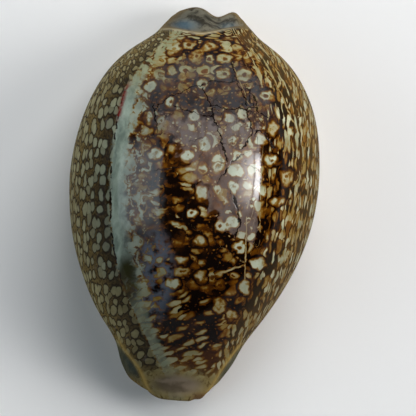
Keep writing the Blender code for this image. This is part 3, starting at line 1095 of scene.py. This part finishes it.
# %% Hairlines
long_crack = calc("ABSOLUTE", add(stored("crack_offset"), swing(skin, 0.9, 3.0, 1.6)))
long_width = times(stored("crack_width"), add(0.35, times(grain(skin, 0.5, 2.0), 1.4)))
crack = ease(minus(long_crack, long_width), 0.06, -0.03)
small_crack = cells(moved(skin, ripple, 1.6), 4.2, 1.0, "DISTANCE_TO_EDGE")["Distance"]
small_crack = times(ease(small_crack, 0.030, 0.012), patches(skin, 0.30, 2.0, 0.47, 0.52))
crack = most(crack, times(small_crack, stored("cracked"), 0.45))
coat = blend(times(crack, 0.92), coat, "0E0706")

# %% [markdown]
# ## The ends, the base and the inside
#
# The canals at the two ends are bare of pattern: glossy blue-grey with a brown rim, and the blue patches on
# the back end are painted highlights. The base, which the back hides, is given what such a shell has: fawn
# callus with chestnut teeth, and a pale lilac inside.

# %% The back end
smear = squeezed(uneven, 0.5, 1.4)
smoke = tinted(
    blend(patches(smear, 0.6, 3.0, 0.36, 0.62), "35332F", "6C6A62"),
    # Painted highlights in blue on the back end.
    (times(stored("blue_highlight"), 0.65), "607A90"),
    (times(rim_gold, 0.9), "6A5836"),
)
coat = tinted(coat, (stored("back_end"), smoke), (times(stored("back_lip"), 0.8), "B9B19A"))

# %% The front end
front_cup = stored("front_cup")
hatch = patches(squeezed(uneven, 1.3, 0.55), 0.9, 3.0, 0.50, 0.60)
tan = tinted(
    blend(grain(smear, 0.6, 3.0), "5C5230", "A89A6A"),
    (times(hatch, no(front_cup)), "54431F"),
    (times(line, 0.6), "8A8C78"),
    (front_cup, blend(patches(smear, 0.35, 1.0, 0.30, 0.70), "5C5246", "82766A")),
    (times(rim_gold, 0.7), "7A6534"),
    (times(stored("front_bump"), 0.8), "5C3E26"),
)
teal = blend(times(rim_gold, 0.25), blend(grain(smear, 0.7, 2.0), "1A2628", "48524C"), "6E6036")
coat = tinted(
    coat,
    (stored("front_end"), tan),
    (times(stored("flute"), 0.9), teal),
    (times(stored("front_lip"), 0.8), "AC9252"),
)

# %% Base and inside
base = stored("base")
fawn = blend(grain(skin, 0.25, 3.0), "A8957A", "C4B597")
side_spots = ease(minus(cells(uneven, 2.1, 0.9)["Distance"], 0.28), 0.05, -0.05)
fawn = blend(times(side_spots, ease(base, 0.95, 0.5)), fawn, "4A2E17")
coat = tinted(
    coat,
    (ease(base, 0.30, 0.75), fawn),
    (times(stored("tooth"), 0.85), "5A2C14"),
    (times(stored("gap"), 0.8), "CDBD9C"),
    (stored("inside"), "A79FB0"),
)

# %% [markdown]
# ## Gloss
#
# A cowrie's gloss is a clear glaze over the colour, faintly amber with age, which is a multiplied tint. So
# the colour layer itself is given no highlight, and the coat on top carries it all. The glaze is fullest
# where the shell faces up or down, and dull on the flanks. A faint bump gives it slow waves, and lets the
# cracks sink in.

# %% Gloss
AMBER = (0.92, 0.89, 0.78, 1.0)
FLANK_GLAZE = 0.12
FULL_GLAZE = 0.95
WAVES = {"Strength": 0.25, "Distance": 0.12 * MM}
surface = tree.nodes["Principled BSDF"]
plug(surface.inputs["Base Color"], blend(1.0, coat, AMBER, "MULTIPLY"))
surface.inputs["Roughness"].default_value = 0.30
surface.inputs["Specular IOR Level"].default_value = 0.0
plug(surface.inputs["Coat Weight"], add(FLANK_GLAZE, times(stored("glossy"), FULL_GLAZE - FLANK_GLAZE)))
surface.inputs["Coat Roughness"].default_value = 0.05
surface.inputs["Coat IOR"].default_value = 1.5
height = minus(times(grain(skin, 0.5, 2.0), 0.6), times(crack, 0.8))
waves = node("Bump", "Normal", {**WAVES, "Height": height})
plug(surface.inputs["Normal"], waves)
plug(surface.inputs["Coat Normal"], waves)
shell.data.materials.append(finish)
print("the finish has", len(tree.nodes), "nodes")

# %% [markdown]
# ## Hand the piece to the frame
#
# The solid shell stays in the file for contact and weight. This mesh stands in for it wherever it's seen.

# %% Ride and replace
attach(shell, "root")
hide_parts("cowrie_shell")

# %% [markdown]
# ## Floor, lamps and camera
#
# A polished dome mirrors everything round it, so the lamps are shapes as much as they are brightness. A
# broad dim panel stands to the left, and a brighter one to the right with a narrow strip at its foot. The
# panels fade towards their edges, which softens what the glaze mirrors. A lamp beyond the broad end adds
# light that isn't mirrored, and nothing hangs overhead, which keeps the middle of the back dark.

# %% Floor
SPAN = 40 * LENGTH
PAPER_WHITE = 0.78


def rectangle(name, half_width, half_height, corners):
    """A flat sheet in the scene, with its four corners taken in that order."""
    w, h = half_width, half_height
    sheet = bpy.data.meshes.new(name)
    sheet.from_pydata([(-w, -h, 0), (w, -h, 0), (w, h, 0), (-w, h, 0)], [], [corners])
    holder = bpy.data.objects.new(name, sheet)
    bpy.context.scene.collection.objects.link(holder)
    return holder


floor = rectangle("floor", SPAN, SPAN, (0, 1, 2, 3))
paper = new_material("paper")
matt = tree.nodes["Principled BSDF"].inputs
matt["Base Color"].default_value = (PAPER_WHITE, PAPER_WHITE, PAPER_WHITE, 1)
matt["Roughness"].default_value = 0.9
matt["Specular IOR Level"].default_value = 0.1
floor.data.materials.append(paper)

# %% Where the lamps stand
FAR = 8 * LENGTH


def ring_place(azimuth, elevation):
    """A place FAR from the shell: azimuth from +X towards +Y, elevation above the table, in degrees."""
    a = math.radians(azimuth)
    e = math.radians(elevation)
    return (FAR * math.cos(e) * math.cos(a), FAR * math.cos(e) * math.sin(a), FAR * math.sin(e))


def aimed(place, target):
    """The turn of a lamp at that place that shines at the target."""
    return (Vector(target) - Vector(place)).to_track_quat("-Z", "Y").to_euler()


# %% Lamps
BODY_LEVEL = 0.2 * LENGTH


def softbox(name, place, size, brightness, tint, fade):
    """A glowing rectangle, in metres, that faces the shell and fades over that share of each edge."""
    holder = rectangle(name, size[0] / 2, size[1] / 2, (3, 2, 1, 0))
    holder.location = place
    holder.rotation_euler = aimed(place, (0, 0, BODY_LEVEL))
    glow = new_material(name)
    tree.nodes.clear()
    split = node("SeparateXYZ", None, {0: node("TexCoord", "Generated", {})})
    strength = brightness
    for axis, (near, far) in zip("XY", fade):
        strength = times(strength, ease(split[axis], 0.0, near), ease(split[axis], 1.0, 1.0 - far))
    lit = node("Emission", 0, {"Color": (*tint, 1), "Strength": strength})
    one_sided = node("MixShader", 0, {0: node("NewGeometry", "Backfacing", {}), 1: lit})
    node("OutputMaterial", None, {"Surface": one_sided})
    holder.data.materials.append(glow)
    holder.visible_camera = False


DAYLIGHT = (0.80, 0.92, 1.0)
WARM = (1.0, 0.99, 0.97)
WHITE = (1.0, 1.0, 1.0)
softbox("left_window", ring_place(180, 38), (0.78, 0.52), 1.5, DAYLIGHT, ((0.3, 0.3), (0.05, 0.02)))
softbox("right_window", ring_place(6, 43), (0.50, 0.34), 15.0, WARM, ((0.45, 0.45), (0.05, 0.95)))
softbox("right_strip", ring_place(5, 32), (0.36, 0.085), 23.0, WHITE, ((0.35, 0.35), (0.04, 0.45)))
bulb = bpy.data.lights.new("far_lamp", "AREA")
bulb.size = 0.45
bulb.energy = 3.0
far_lamp = bpy.data.objects.new("far_lamp", bulb)
far_lamp.location = ring_place(70, 42)
far_lamp.rotation_euler = aimed(ring_place(70, 42), (0, 0, 0))
far_lamp.visible_glossy = False
bpy.context.scene.collection.objects.link(far_lamp)

# %% A dim grey all round
world = bpy.data.worlds.new("studio")
bpy.context.scene.world = world
world.use_nodes = True
room = world.node_tree.nodes["Background"].inputs
room["Color"].default_value = (1, 1, 1, 1)
room["Strength"].default_value = 0.035

# %% [markdown]
# The camera looks straight down from far off through a long lens, so the shell hides its own flanks as
# little as it can. It is turned by a few degrees, which lets the shell lean the other way, and aimed a
# little beside the shell's middle.

# %% Camera
LENS = 600
SENSOR = 36
SHARE_OF_FRAME = 0.949
TURN = math.radians(3)
AIM_RIGHT = 0.0378 * LENGTH
AIM_BELOW = 0.0091 * LENGTH
distance = LENGTH / SHARE_OF_FRAME * LENS / SENSOR
lens = bpy.data.cameras.new("camera")
lens.lens = LENS
lens.sensor_width = SENSOR
lens.clip_start = 0.01
camera = bpy.data.objects.new("camera", lens)
right = np.array([math.cos(TURN), math.sin(TURN)])
above = np.array([-math.sin(TURN), math.cos(TURN)])
aim = AIM_RIGHT * right - AIM_BELOW * above
camera.location = (aim[0], aim[1], distance + WIDEST_LEVEL * cad_high.z)
camera.rotation_euler = (0, 0, TURN)
bpy.context.scene.collection.objects.link(camera)
bpy.context.scene.camera = camera
bpy.context.scene.view_settings.view_transform = "Standard"
print("the camera is", round(camera.location.z, 3), "m above the table")
